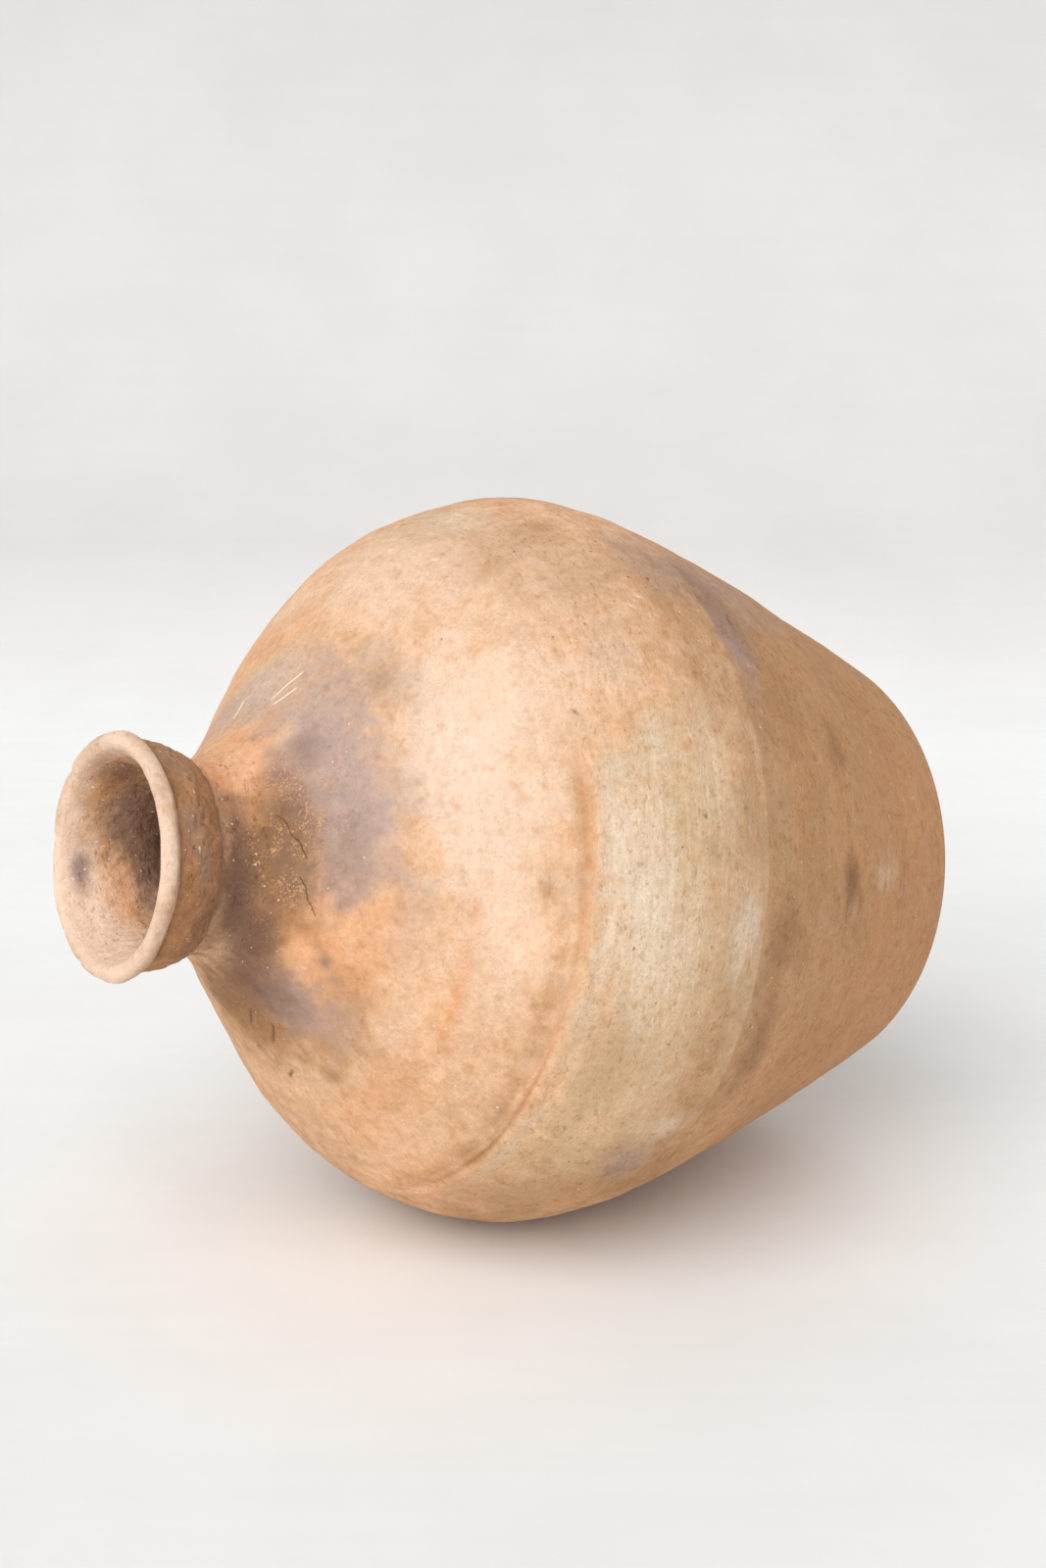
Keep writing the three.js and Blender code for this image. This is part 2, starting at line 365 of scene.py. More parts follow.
seam_radius = np.interp(UPPER_SEAM, LINE_HEIGHT, LINE_RADIUS)
seam_level = np.full(COLUMNS, UPPER_SEAM)
seam_ring = np.column_stack([seam_radius * np.cos(turn), seam_radius * np.sin(turn), seam_level])
at_seam = outer_relief(turn, seam_level, seam_ring)
print(f"relief along the upper seam: {at_seam.min():.2f} to {at_seam.max():.2f} mm")

# %% [markdown]
# ## Straying edges and the inner relief
# No seam runs quite level, and the collar's edge least of all, so a few slow waves lift and lower them.
# Inside, the fingers that pulled the wall up left rings that were never wiped away. They end at the neck,
# where smaller lumps take over.

# %% Stray of the edges and relief of the inner face
# How edges stray: millimetres, waves round the jar and their shift.
SEAM_STRAY = ((0.9, 1, 1.1), (0.5, 2, -0.4), (0.25, 5, 0))
COLLAR_STRAY = ((0.7, 2, 0.5), (0.5, 5, 1), (0.4, 9, 0))
STRAY_IN, STRAY_OUT = (25, 110), (320, 362)
FINGER_RINGS, FINGER_WIDTH, FINGERS_OUT = 0.7, 2.1, (330, 365)
LUMPS, LUMPS_IN, LIP_SMOOTHED = ((0.3, 14, 6), (0.2, 5, 7), (0.1, 2.4, 14)), (0, 20), (390, 404)


def wander(angle, height):
    """How far the seams and the collar's edge stray up or down the wall, in millimetres."""
    seams, edge = (sum(size * np.sin(waves * angle + shift) for size, waves, shift in stray)
                   for stray in (SEAM_STRAY, COLLAR_STRAY))
    seams = seams * rise(height, *STRAY_IN) * (1 - rise(height, *STRAY_OUT))
    return seams + edge * band(height, COLLAR_FOOT, 4)


def inner_relief(angle, height, points):
    """Finger rings and lumps on the inner face, in millimetres towards the axis."""
    fingers = FINGER_RINGS * np.cos(height / FINGER_WIDTH + 1.5 * np.sin(angle)) * (1 - rise(height, *FINGERS_OUT))
    return fingers + ripples(points, LUMPS) * rise(height, *LUMPS_IN) * (1 - 0.6 * rise(height, *LIP_SMOOTHED))


strayed = wander(turn, seam_level)
print(f"the upper seam strays {strayed.min():.2f} to {strayed.max():.2f} mm")

# %% [markdown]
# ## From a section to a mesh
# Every piece is a closed section swept once round the axis, as a lathe would, but with each point moved
# by the relief for its own angle. The section says of each row whether it lies outside, inside or hidden
# in a joint. Edges between a shown face and a joint are kept sharp, so the shading does not bleed round
# the corner. Neighbours share the rows at a seam exactly, so no light gets through.

# %% Faces and corners
OUTSIDE, INSIDE, HIDDEN = 0, 1, 2


def rows_of(points, face):
    """A face as rows of radius, height, outward direction and the face's kind."""
    return np.column_stack([points, np.full(len(points), face)])


def ring_faces(count, closed):
    """Quads from row to row; a closed section also joins its last row to its first."""
    last = count if closed else count - 1
    row = np.arange(last)[:, None] * COLUMNS
    above = (np.arange(1, last + 1) % count)[:, None] * COLUMNS
    column = np.arange(COLUMNS)
    beside = (column + 1) % COLUMNS
    return np.stack([row + column, row + beside, above + beside, above + column], -1).reshape(-1, 4).tolist()


def end_fans(count):
    """Triangles from the first and the last row to the two middle points that come after all rows."""
    foot, top, last = count * COLUMNS, count * COLUMNS + 1, (count - 1) * COLUMNS
    sides = [(a, (a + 1) % COLUMNS) for a in range(COLUMNS)]
    return [[foot, b, a] for a, b in sides] + [[top, last + a, last + b] for a, b in sides]


def keep_corners(mesh, kind):
    """Marks edges as sharp where the kind of face changes from row to row."""
    corner = (kind != np.roll(kind, 1)) | (kind != np.roll(kind, -1))
    ends = np.empty(len(mesh.edges) * 2, np.int32)
    mesh.edges.foreach_get("vertices", ends)
    ends = np.minimum(ends.reshape(-1, 2) // COLUMNS, len(kind) - 1)
    sharp = (ends[:, 0] == ends[:, 1]) & corner[ends[:, 0]]
    mesh.attributes.new("sharp_edge", "BOOLEAN", "EDGE").data.foreach_set("value", sharp)


print("faces of a closed section with 10 rows:", len(ring_faces(10, True)))

# %% The clay wheel
shaped = {}


def thrown(node, section, relief=outer_relief, closed=True):
    """Sweeps a section round the axis, and keeps the piece with the grids that its colour needs."""
    radius, height, out_r, out_z, face = (column[:, None] for column in section.T)
    angle = np.broadcast_to(turn, (len(section), COLUMNS))
    level = np.broadcast_to(height, angle.shape)
    plain = np.stack([radius * np.cos(angle), radius * np.sin(angle), level], -1)
    push = np.where(face == OUTSIDE, relief(angle, level, plain), 0)
    push = np.where(face == INSIDE, inner_relief(angle, level, plain), push)
    stray = np.where(face == OUTSIDE, wander(angle, level), 0)
    swept_r = radius + out_r * push - out_z * stray
    swept_z = level + out_z * push + out_r * stray
    points = np.stack([swept_r * np.cos(angle), swept_r * np.sin(angle), swept_z], -1)
    vertices = points.reshape(-1, 3) * MM
    faces = ring_faces(len(section), closed)
    if not closed:
        vertices = np.vstack([vertices, [[0, 0, points[row, :, 2].mean() * MM] for row in (0, -1)]])
        faces += end_fans(len(section))
    mesh = bpy.data.meshes.new("jar_" + node)
    mesh.from_pydata(vertices.tolist(), [], faces)
    mesh.shade_smooth()
    keep_corners(mesh, section[:, 4])
    shaped[node] = placed("jar_" + node, mesh), angle, level, np.broadcast_to(face, angle.shape), plain
    print(f"jar_{node}: {len(mesh.vertices)} points, {len(mesh.polygons)} faces")


print("one turn of the wheel takes", COLUMNS, "steps")

# %% [markdown]
# ## The four rings of wall
# Each ring runs from one luted joint to the next. A joint slants: it climbs from the outer face to the
# inner one, as two bevelled edges pressed together do. At the slab and at the neck the joint is level.
# The inner face is never seen up close, so its rows are far apart.

# %% Wall sections
INNER_ROW, WALL_STEPS = 9, 3000


def behind(level):
    """The height on the outer face behind which the inner face lies at a level."""
    heights = np.linspace(0, NECK_UPRIGHT, WALL_STEPS)
    return float(np.interp(level, on_wall(heights, WALL)[:, 1], heights))


def wall_ring(low, high, coarse):
    """The closed section of a wall ring between two joints, each an outer and an inner height."""
    outside = on_wall(rows(low[0], high[0], coarse))
    inside = on_wall(rows(low[1], high[1], INNER_ROW, INNER_ROW), WALL)[::-1]
    inside[:, 2:] *= -1
    return np.vstack([rows_of(outside, OUTSIDE), rows_of(inside, INSIDE)])


slab_joint = SLAB_TOP, behind(SLAB_TOP)
lower_joint = LOWER_SEAM, LOWER_SEAM + SCARF
upper_joint = UPPER_SEAM, UPPER_SEAM + SCARF
ring_joint = SHOULDER_RING, SHOULDER_RING + SCARF
neck_joint = NECK_FOOT, behind(NECK_FOOT)
for node, low, high, coarse in (
    ("lower_wall", slab_joint, lower_joint, 3.0), ("belly_band", lower_joint, upper_joint, 2.0),
    ("lower_shoulder", upper_joint, ring_joint, 1.8), ("upper_shoulder", ring_joint, neck_joint, 0.95),
):
    thrown(node, wall_ring(low, high, coarse))

# %% [markdown]
# ## The base slab
# The slab is a disc with a rounded foot edge. Its underside was the ground that the jar was built on, so
# it stays flat. The section starts and ends near the axis, and two fans of triangles close it there.

# %% Base slab
MIDDLE_HOLE = 4


def bend(a, corner, b, count):
    """Points along a bend from a to b that a corner pulls towards itself."""
    t = np.linspace(0, 1, count)[:, None]
    a, corner, b = (np.array(p, float) for p in (a, corner, b))
    return (1 - t) ** 2 * a + 2 * (1 - t) * t * corner + t ** 2 * b


def curve_rows(points, face):
    """Rows along any line of points, with the outward direction to the right of the way they run."""
    points = np.asarray(points, float)
    way = np.gradient(points, axis=0)
    way /= np.linalg.norm(way, axis=1)[:, None]
    return rows_of(np.column_stack([points, way[:, 1], -way[:, 0]]), face)


def slab_section():
    """Underside, rounded edge, rim and the hidden top of the slab."""
    flat = BASE_RADIUS - BASE_ROUND
    edge = bend((flat, 0), (BASE_RADIUS, 0), on_wall([BASE_ROUND])[0, :2], 12)
    under = [(r, 0) for r in np.linspace(MIDDLE_HOLE, flat, 40)[:-1]]
    top_radius = on_wall([slab_joint[1]], WALL)[0, 0]
    top = [(r, SLAB_TOP) for r in np.linspace(top_radius, MIDDLE_HOLE, 12)]
    return np.vstack([
        curve_rows(under + edge.tolist(), HIDDEN),
        rows_of(on_wall(rows(BASE_ROUND, SLAB_TOP, 1.0))[1:], OUTSIDE),
        curve_rows(top, INSIDE),
    ])


thrown("base_disc", slab_section(), closed=False)

# %% [markdown]
# ## Neck, collar and lip
# The neck is a short tube that curves out of the shoulder and opens into a funnel. A strap of clay is
# wrapped round it as a collar, and a coil is rolled over both as a lip. These three were pinched into
# shape with wet fingers, so their swells are shorter and their edges wander. The lip is also chipped and
# rubbed, because it was the part that knocked against things.

# %% Pinched relief
# Each chip: degrees round the lip, height, width and depth.
CHIPS = [(44, 413.0, 2.6, 1.1), (-128, 408.5, 2.2, 0.7), (-160, 411.0, 2.4, 0.6), (-62, 410.0, 2.0, 0.6),
         (-105, 406.5, 2.0, 0.7), (150, 412.5, 2.4, 0.9), (12, 412.0, 2.0, 0.6), (80, 412.0, 2.2, 0.6)]
CHIP_RADIUS = 50
PINCHES, PINCHED_IN = ((0.28, 30, 8), (0.06, 9, 9)), 0.5
COLLAR_LUMPS = ((0.36, 10, 13), (0.22, 4, 10))
SIDE_BULGE, LIP_DENT, COLLAR_BULGE, LIP_CREASE = 0.9, 0.5, 0.9, 0.8


def pinched_relief(angle, height, points):
    """Finger pinches, chips, the collar's bulge and the crease over it; the funnel's own lumps further in."""
    out = ripples(points, PINCHES) - PINCHED_IN
    out += (SIDE_BULGE * facing(angle, 0, 55) * band(height, COLLAR_FOOT + 15, 12)
            - LIP_DENT * facing(angle, -90, 50) * band(height, LIP_FOOT + 5, 5))
    for degrees, level, width, depth in CHIPS:
        across = CHIP_RADIUS * turned_from(angle, degrees)
        out -= depth * np.exp(-((across ** 2 + (height - level) ** 2) / width ** 2))
    out += (1 - rise(height, LIP_FOOT - 3, LIP_FOOT + 2)) * ripples(points, COLLAR_LUMPS)
    out += COLLAR_BULGE * band(height, COLLAR_FOOT + 10, 7) - LIP_CREASE * band(height, LIP_FOOT - 0.5, 2.2)
    funnel = 1 - rise(np.hypot(points[..., 0], points[..., 1]), MOUTH_RADIUS + 1, MOUTH_RADIUS + 6)
    return out * (1 - funnel) + inner_relief(angle, height, points) * funnel


print("chips on the lip:", len(CHIPS))

# %% The neck
NECK_PINCHES = ((0.35, 20, 11), (0.2, 7, 12))
COLLAR_SEAT = [(COLLAR_FOOT_RADIUS - COLLAR_CLAY, COLLAR_FOOT), (COLLAR_TOP_RADIUS - COLLAR_CLAY, LIP_FOOT)]


def neck_relief(angle, height, points):
    """The neck's outer face: the wall's own relief that turns into finger pinches under the collar."""
    share = rise(height, NECK_FOOT + 2, NECK_UPRIGHT)
    return outer_relief(angle, height, points) * (1 - share) + ripples(points, NECK_PINCHES) * share


def neck_section():
    """The neck from its foot up to the collar, over the hidden seat, and down the funnel."""
    flare = on_wall(rows(NECK_FOOT, COLLAR_FOOT, 1.0))
    turn_in = THROAT_RADIUS, (NECK_UPRIGHT + LIP_FOOT) / 2
    funnel = bend((MOUTH_RADIUS, LIP_FOOT), turn_in, (THROAT_RADIUS, NECK_UPRIGHT), 34)
    throat = on_wall(rows(neck_joint[1], NECK_UPRIGHT, 1.5), WALL)[::-1][1:]
    throat[:, 2:] *= -1
    inner = curve_rows(funnel, INSIDE)
    inner[0, 2:4] = -1, 0
    seat = np.array([(*place, 1, 0) for place in COLLAR_SEAT])
    return np.vstack([rows_of(flare, OUTSIDE), rows_of(seat, HIDDEN), inner, rows_of(throat, INSIDE)])


thrown("neck", neck_section(), neck_relief)

# %% [markdown]
# ## Collar and lip
# The strap's lower edge was rounded off with a finger, and its back is hidden against the neck. The lip
# is most of a circle in section, like the coil it was rolled from, and runs down into the funnel inside.

# %% Collar and lip
COLLAR_EDGE = 1.8
LIP_WIDTH, LIP_HEIGHT = 8.8, 9.0
LIP_FROM, LIP_TO = -65, 155
SEAT_INSET = 1.5


def collar_section():
    """The strap's rounded lower edge, its flaring face and its hidden back."""
    lean = (COLLAR_TOP_RADIUS - COLLAR_FOOT_RADIUS) / (LIP_FOOT - COLLAR_FOOT)
    foot = COLLAR_FOOT_RADIUS, COLLAR_FOOT
    edge = bend((COLLAR_FOOT_RADIUS - COLLAR_EDGE, COLLAR_FOOT), foot,
                (COLLAR_FOOT_RADIUS + lean * COLLAR_EDGE, COLLAR_FOOT + COLLAR_EDGE), 8)
    face = np.linspace(edge[-1], [COLLAR_TOP_RADIUS, LIP_FOOT], 30)[1:]
    shown = curve_rows(np.vstack([edge, face]), OUTSIDE)
    shown[-1, 2:4] = 1, 0
    hidden = np.array([(*place, -1, 0) for place in COLLAR_SEAT[::-1]])
    return np.vstack([shown, rows_of(hidden, HIDDEN)])


def lip_section():
    """The coil from the crease over the collar, round the top, down into the funnel and back underneath."""
    roll = np.radians(np.linspace(LIP_FROM, LIP_TO, 48))
    out, up = np.cos(roll), np.sin(roll)
    shown = np.column_stack([LIP_RADIUS - LIP_WIDTH / 2 * (1 - out), LIP_TOP - LIP_HEIGHT / 2 * (1 - up), out, up])
    crease = np.array([[COLLAR_TOP_RADIUS, LIP_FOOT, 1, 0]])
    foot = np.array([[MOUTH_RADIUS, LIP_FOOT, -1, 0]])
    into = shown[-1] + (foot - shown[-1]) * np.linspace(0, 1, 7)[1:, None]
    seat = np.array([(r, LIP_FOOT, 0, -1) for r in (MOUTH_RADIUS + SEAT_INSET, COLLAR_TOP_RADIUS - SEAT_INSET)])
    return np.vstack([rows_of(np.vstack([crease, shown, into]), OUTSIDE), rows_of(seat, HIDDEN)])


thrown("collar_band", collar_section(), pinched_relief)
thrown("lip_roll", lip_section(), pinched_relief)

# %% [markdown]
# ## What the fire painted
# The kiln coloured this jar more than its maker did. Flame left orange, clean air left cream, smoke left
# purple-grey clouds round the neck, and ash left a pale haze over the belly. Painting an image would be
# the usual way, but then the colour would hang on a picture file. Here each tone is a mask on the mesh:
# a list of ovals on the unrolled wall, in degrees and millimetres, with edges made ragged by swells.

# %% Ovals of colour on the wall
TONES = ("beige", "orange", "cream", "brown", "smoke", "haze", "soot", "gold")
# Each oval: degrees round the jar, height, half length along the turn, half length up the wall, strength.
OUTER_OVALS = {
    "beige": [
        (-112, 228, 150, 50, 0.75), (-150, 236, 70, 46, 0.8), (-80, 230, 50, 40, 0.7), (-10, 262, 44, 28, 0.65),
        (-100, 174, 140, 30, 0.7), (10, 320, 60, 26, 0.3), (-165, 318, 40, 26, 0.4), (-148, 292, 70, 22, 0.1),
        (-121, 246, 44, 24, 0.8),
    ],
    "orange": [
        (-36, 362, 36, 19, 0.95), (-39, 372, 30, 9, 0.95), (-60, 369, 12, 8, 0.6), (-20, 355, 20, 12, 0.7),
        (-112, 341, 36, 25, 0.6), (-126, 348, 26, 15, 0.65), (-139, 338, 22, 15, 0.75),
        (-114, 326, 40, 20, 0.45), (-131, 330, 28, 16, 0.5), (28, 338, 16, 36, 0.5), (-118, 303, 50, 4.4, 0.9),
        (-96, 303, 30, 4, 0.6), (-130, 271, 70, 3, 0.5), (-88, 270, 50, 3.6, 0.75), (-160, 262, 46, 34, 0.3),
        (-155, 306, 50, 22, 0.5), (-155, 215, 28, 20, 0.5), (-130, 100, 50, 70, 0.5), (-115, 16, 90, 14, 0.7),
        (-65, 20, 60, 16, 0.5), (-65, 60, 70, 44, 0.6), (-105, 55, 80, 40, 0.5), (10, 315, 60, 24, 0.4),
        (-35, 292, 24, 13, 0.3), (-110, 387, 18, 8, 0.8), (-76, 384, 10, 4, 0.7), (-135, 391, 14, 8, 0.7),
        (-52, 385, 11, 4, 0.7),
    ],
    "cream": [
        (-66, 304, 64, 42, 1.0), (-88, 298, 48, 36, 0.65), (-62, 281, 46, 24, 0.6), (-108, 292, 44, 26, 0.5),
        (-60, 250, 26, 20, 0.4), (-15, 300, 44, 18, 0.4), (-20, 282, 96, 48, 0.5), (-37, 362, 26, 13, 0.25),
        (-38, 245, 60, 32, 0.3), (-132, 315, 24, 14, 0.3), (15, 300, 40, 16, 0.3), (-112, 318, 40, 18, 0.2),
    ],
    "brown": [
        (-95, 359, 46, 19, 0.95), (-114, 355, 25, 16, 0.8), (-82, 352, 36, 16, 0.75), (-66, 362, 20, 12, 0.6),
        (-105, 368, 36, 13, 0.9), (-169, 349, 38, 30, 0.9), (-183, 340, 44, 32, 0.9), (-150, 328, 52, 22, 0.7),
        (-41, 316, 28, 16, 0.35), (-33.4, 268, 26, 14, 0.35), (-25, 255, 34, 28, 0.3), (-40, 240, 46, 28, 0.3),
        (-45, 200, 40, 28, 0.4), (-29, 238, 30, 16, 0.3), (-12, 268, 30, 14, 0.2), (-145, 205, 30, 30, 0.6),
        # The thin brown line at 270.2 mm lies in the upper seam's groove and is painted shade.
        (-155, 238, 64, 38, 0.55), (-148, 270.2, 70, 1.8, 0.6), (-150, 275, 75, 6, 0.4),
        (-122, 277, 60, 6, 0.4), (-121, 248, 38, 20, 0.3), (-95, 283, 9, 5, 0.5), (-115, 281, 6, 4, 0.5),
        (-112, 204, 46, 12, 0.3), (-55, 200, 64, 32, 0.35), (-82, 192, 44, 14, 0.35), (-127, 196, 54, 20, 0.45),
        (-85, 174, 150, 20, 0.25), (-85, 271, 50, 5, 0.35), (-150, 184, 80, 24, 0.6), (-103, 165, 34, 18, 0.6),
        (-93.5, 109, 15, 10, 0.95), (-98, 98, 10, 4, 0.6), (-70, 111, 17, 14, 0.6), (-63, 157, 44, 26, 0.5),
        (-120, 166, 34, 16, 0.6), (-85, 150, 60, 20, 0.35), (-178, 215, 60, 50, 0.35),
        (120, 190, 230, 130, 0.65), (-38, 398, 16, 6, 0.4), (-100, 406, 60, 2.2, 0.2), (-150, 408, 30, 3, 0.35),
        (40, 409, 30, 3, 0.4), (100, 409, 40, 2.4, 0.3), (-140, 409, 14, 5, 0.3), (-62, 410, 13, 5, 0.35),
        (-115, 411, 10, 4, 0.35), (60, 412, 14, 5, 0.3), (-160, 408, 12, 4, 0.2), (20, 411, 12, 5, 0.35),
        (-25, 409, 14, 4, 0.35), (150, 411, 12, 4, 0.35),
    ],
    "smoke": [
        (-72, 334, 48, 30, 0.85), (-88, 339, 32, 22, 0.7), (-58, 344, 32, 22, 0.7), (-45, 340, 28, 26, 0.7),
        (-38, 333, 34, 26, 0.5), (-42, 318, 30, 18, 0.25), (-8, 338, 40, 28, 0.5), (14, 341, 40, 26, 0.6),
        (-20, 326, 46, 18, 0.35), (-152, 341, 24, 24, 0.8), (-146, 327, 22, 16, 0.4), (-95, 353, 24, 11, 0.3),
        (-40, 200, 34, 24, 0.3), (-40, 150, 28, 60, 0.55), (-55, 172, 34, 17, 0.65), (-141, 212, 14, 16, 0.6),
        (-75, 396, 17, 7, 0.3), (-30, 395, 22, 9, 0.35), (-98, 391, 13, 6, 0.35), (-100, 320, 30, 12, 0.2),
    ],
    "haze": [
        (-98, 246, 60, 20, 0.8), (-88, 259, 50, 9, 0.65), (-100, 196, 26, 13, 0.7), (-133, 202, 10, 18, 0.5),
        (-102, 226, 50, 13, 0.35), (-78, 216, 34, 12, 0.3), (-93, 72, 10, 16, 0.35), (-145, 264, 54, 4, 0.35),
        (-112, 262, 40, 5, 0.4), (-74, 240, 24, 12, 0.4), (-15, 256, 36, 16, 0.4), (0, 334, 38, 26, 0.35),
        (-88, 252, 46, 16, 0.4), (-41, 316, 26, 14, 0.2),
    ],
    "soot": [
        (-122, 369, 34, 13, 0.85), (-137, 361, 32, 16, 0.8), (-158, 357, 32, 16, 0.6),
        (-150, 349, 21, 16, 0.45), (-100, 373, 42, 8, 0.65), (-84, 369, 26, 8, 0.5), (-66, 373, 20, 6, 0.4),
        (-93, 358, 48, 19, 0.6), (-80, 352, 38, 16, 0.5), (-173, 348, 40, 26, 0.5), (-152, 341, 18, 16, 0.25),
        (-47, 344, 14, 9, 0.45), (-42, 317, 12, 8, 0.25), (-60, 349, 20, 12, 0.25), (-88, 338, 24, 14, 0.3),
        (-47, 170, 46, 22, 0.4), (-93.5, 109, 15, 10, 0.6), (-99, 110, 9, 4, 0.4), (-102, 168, 24, 14, 0.25),
        (-119, 165, 28, 13, 0.3), (-70, 111, 12, 9, 0.25), (-107, 150, 16, 10, 0.2), (-143, 215, 13, 12, 0.3),
        (-132, 386, 20, 8, 0.4), (-105, 387, 42, 10, 0.35),
    ],
    "gold": [
        (-88, 360, 40, 16, 1.0), (-75, 352, 32, 17, 0.9), (-60, 350, 26, 15, 0.8), (-100, 353, 22, 12, 0.8),
        (-52, 362, 18, 10, 0.5), (-70, 340, 40, 16, 0.35),
    ],
}
INNER_OVALS = {
    "orange": [(112, 391, 18, 9, 0.8), (132, 388, 15, 9, 0.6), (150, 405, 12, 5, 0.3)],
    "cream": [
        (125, 401, 54, 7, 0.9), (160, 395, 22, 12, 0.8), (85, 402, 26, 6, 0.7), (190, 402, 20, 7, 0.6),
        (116, 395, 30, 10, 0.4),
    ],
    "brown": [(38, 392, 46, 20, 0.95), (-20, 392, 44, 18, 0.8), (74, 384, 26, 12, 0.75)],
    "smoke": [(55, 386, 30, 13, 0.5), (98, 404, 12, 6, 0.9)],
    "soot": [
        (18, 397, 22, 10, 0.75), (45, 388, 24, 12, 0.45), (72, 372, 56, 13, 0.72), (60, 379, 40, 13, 0.4),
        (98, 402.5, 11, 5, 0.5),
    ],
}

print("ovals in front and inside:", sum(len(v) for group in (OUTER_OVALS, INNER_OVALS) for v in group.values()))

# %% [markdown]
# ## Thin coats, and the back
# A patch covers what is under it the way a thin coat does, so two weak patches never add up to more than
# a full one. Nothing is known of the colours at the back, so a seeded draw scatters ovals of the same
# kinds there.

# %% Patches and the back's clouds
EDGE_SWING, OVAL_EDGE = 0.2, (0.1, 1.2)
# Tone, number and greatest strength of the ovals at the back.
CLOUDS = (("orange", 9, 0.75), ("cream", 6, 0.75), ("brown", 8, 0.75), ("smoke", 7, 0.75), ("haze", 5, 0.35))
# Their spans: degrees, height, half length along the turn and half length up the wall.
CLOUD_SPANS = (35, 150), (40, 340), (20, 70), (10, 34)
FAINTEST = 0.2


def oval(angle, height, swell, where, level, half_turn, half_wall):
    """1 in the middle of an oval patch and 0 outside it, with a ragged edge."""
    x, y = unrolled(angle, height, where, level)
    away = np.hypot(x / half_turn, y / half_wall) * (1 + EDGE_SWING * swell)
    return 1 - rise(away, *OVAL_EDGE)


def lay(mask, patch, strength):
    """Adds a patch to a mask the way one thin coat covers another."""
    return 1 - (1 - mask) * (1 - strength * patch)


def kiln_clouds(seed=21):
    """Ovals scattered over the back."""
    rng = np.random.default_rng(seed)
    clouds = {tone: [] for tone in TONES}
    for tone, number, most in CLOUDS:
        for _ in range(number):
            place = [rng.uniform(*span) for span in CLOUD_SPANS]
            clouds[tone].append((*place, rng.uniform(FAINTEST, 1) * most))
    clouds["beige"] += [(70, 228, 170, 46, 0.85), (150, 225, 90, 44, 0.7)]
    return clouds


BACK_OVALS = kiln_clouds()
print("ovals at the back:", sum(len(ovals) for ovals in BACK_OVALS.values()))

# %% [markdown]
# ## Laying the masks on the pieces
# Some tones belong to a whole piece: the collar is brown, the lip is worn to cream, and the wall under
# the belly is a shade browner than the rest, less so towards its seam. Those are the masks' first coats,
# and the ovals come on top. Over the lip the outer ovals change softly into the inner ones.
# A crack is far thinner than the mesh is fine, so its mask would turn into beads. The distance to the
# side of the crack is stored instead: it runs straight from point to point, and the material cuts a clean
# thin line out of it.

# %% First coats
UNDERTONE = {
    "base_disc": {"orange": 0.3, "brown": 0.6},
    "lower_wall": {"orange": 0.3, "brown": 0.6},
    "collar_band": {"orange": 0.8, "brown": 0.74, "soot": 0.2},
    "lip_roll": {"cream": 0.9},
}
INSIDE_TONE = {"brown": 0.65, "smoke": 0.45}
DEEP_INSIDE, NEAR_MOUTH = 374, 388
SEAM_FADE, SEAM_FADE_BACK, FADE_REACH = 0.45, 0.9, 50
FADE_SIDE, FADE_SPREAD = -95, 80
# Radii between which the outer ovals come in over the lip, and the inner ones go out.
OUTER_IN, INNER_OUT = (MOUTH_RADIUS + 2.5, MOUTH_RADIUS + 6.5), (MOUTH_RADIUS + 0.5, MOUTH_RADIUS + 4)


def two_sides(node):
    """How far each point takes the outer and the inner ovals."""
    _, _, _, face, points = shaped[node]
    if node == "lip_roll":
        radius = np.hypot(points[..., 0], points[..., 1])
        return rise(radius, *OUTER_IN), 1 - rise(radius, *INNER_OUT)
    inner = np.where(face == INSIDE, 1.0, 0.0)
    return 1 - inner, inner


def first_coat(node, tone):
    """A tone's mask before the ovals come on top."""
    _, angle, height, face, _ = shaped[node]
    coat = np.full(angle.shape, UNDERTONE.get(node, {}).get(tone, 0.0))
    if node == "lower_wall":
        fade = SEAM_FADE_BACK + (SEAM_FADE - SEAM_FADE_BACK) * facing(angle, FADE_SIDE, FADE_SPREAD)
        coat *= 1 - fade * rise(height, LOWER_SEAM - FADE_REACH, LOWER_SEAM)
    deep = INSIDE_TONE.get(tone, 0.0) * (1 - rise(height, DEEP_INSIDE, NEAR_MOUTH))
    return np.where(face == INSIDE, deep, coat)


brown = first_coat("lower_wall", "brown")[shaped["lower_wall"][3] == OUTSIDE]
print(f"brown on the lower wall: {brown.min():.2f} to {brown.max():.2f}")

# %% The mask of one tone
# Painted shade in creases, laid on the soot mask: height, reach and strength.
CREASE_SHADE = {
    "collar_band": [(403.4, 1.5, 0.5), (382.3, 1.5, 0.45)],
    "neck": [(380.5, 2.4, 0.5)],
    "lip_roll": [(404.4, 1.2, 0.4)],
}
CREASE_SHADE_EVEN, CREASE_SHADE_SWING = 0.8, 0.4
DARK_MARKS, MARK_STRENGTH = {"soot": NICKS, "brown": BLISTERS}, 0.9


def tone_mask(node, tone, swell, outer, inner):
    """The first coat of a tone with its ovals, the painted shade in creases (on the soot mask) and the dark marks."""
    _, angle, height, _, _ = shaped[node]
    mask = first_coat(node, tone)
    for ovals, shown in ((OUTER_OVALS, outer), (BACK_OVALS, outer), (INNER_OVALS, inner)):
        for *place, strength in ovals.get(tone, []):
            mask = lay(mask, oval(angle, height, swell, *place) * shown, strength)
    # Soot laid along the creases is painted shade.
    for level, reach, strength in CREASE_SHADE.get(node, []) if tone == "soot" else []:
        painted_shade = band(height, level, reach) * np.clip(CREASE_SHADE_EVEN + CREASE_SHADE_SWING * swell, 0, 1)
        mask = lay(mask, painted_shade * outer, strength)
    for start, end in DARK_MARKS.get(tone, []):
        mask = lay(mask, stroke(angle, height, start, end, NICK_WIDTH) * outer, MARK_STRENGTH)
    return mask


print("tones to lay on each piece:", len(TONES))

